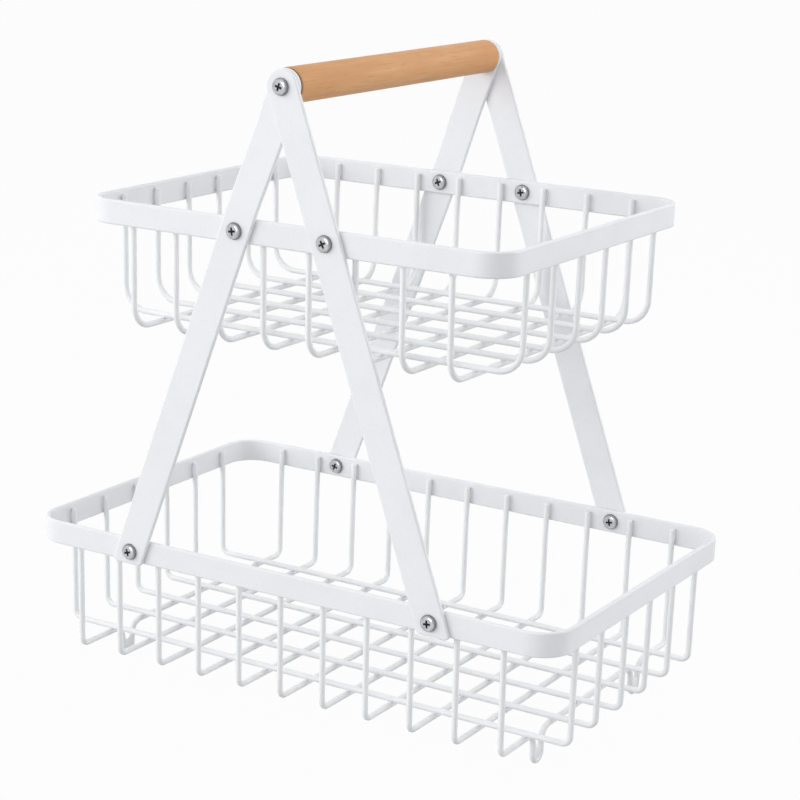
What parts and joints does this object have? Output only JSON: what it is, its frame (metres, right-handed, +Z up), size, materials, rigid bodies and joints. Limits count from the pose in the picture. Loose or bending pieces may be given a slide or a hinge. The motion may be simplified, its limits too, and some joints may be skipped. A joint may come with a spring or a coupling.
{
  "type": "tiered wire basket",
  "caption": "Two open wire baskets, a wide one below and a narrower one above, on A-shaped flat-bar legs with a round wooden handle on top that turns on its screws.",
  "frame": {"origin": "On the table under the middle of the basket, at the middle of its four feet.", "axes": "X runs along the baskets from left to right, Y from front to back along the handle, and Z up."},
  "size_m": [0.384, 0.252, 0.4095],
  "materials": {
    "white_coat": "white satin powder coat on steel",
    "beech": "turned beech with a thin matt clear coat",
    "zinc_steel": "bright zinc plate on steel screws",
    "brass_insert": "plain turned brass"
  },
  "bodies": {
    "basket_frame": {"back_left_leg": "white_coat", "back_right_leg": "white_coat", "front_left_leg": "white_coat", "front_right_leg": "white_coat", "lower_cross_wire_02": "white_coat", "lower_cross_wire_03": "white_coat", "lower_cross_wire_04": "white_coat", "lower_cross_wire_05": "white_coat", "lower_cross_wire_06": "white_coat", "lower_cross_wire_07": "white_coat", "lower_cross_wire_08": "white_coat", "lower_cross_wire_09": "white_coat", "lower_cross_wire_10": "white_coat", "lower_foot_wire_01": "white_coat", "lower_foot_wire_11": "white_coat", "lower_long_wire_01": "white_coat", "lower_long_wire_02": "white_coat", "lower_long_wire_03": "white_coat", "lower_long_wire_04": "white_coat", "lower_long_wire_05": "white_coat", "lower_long_wire_06": "white_coat", "lower_rim": "white_coat", "rim_screws": "zinc_steel", "sleeve_nuts": "zinc_steel", "upper_cross_wire_01": "white_coat", "upper_cross_wire_02": "white_coat", "upper_cross_wire_03": "white_coat", "upper_cross_wire_04": "white_coat", "upper_cross_wire_05": "white_coat", "upper_cross_wire_06": "white_coat", "upper_cross_wire_07": "white_coat", "upper_cross_wire_08": "white_coat", "upper_long_wire_01": "white_coat", "upper_long_wire_02": "white_coat", "upper_long_wire_03": "white_coat", "upper_long_wire_04": "white_coat", "upper_long_wire_05": "white_coat", "upper_long_wire_06": "white_coat", "upper_rim": "white_coat"},
    "handle": {"handle_grip": "beech", "handle_inserts": "brass_insert", "handle_screws": "zinc_steel"}
  },
  "joints": [
    {"name": "handle_roll", "type": "hinge", "parent": "basket_frame", "child": "handle", "pos_m": [0, 0, 0.39876], "axis": [0, 1, 0], "continuous": true}
  ]
}
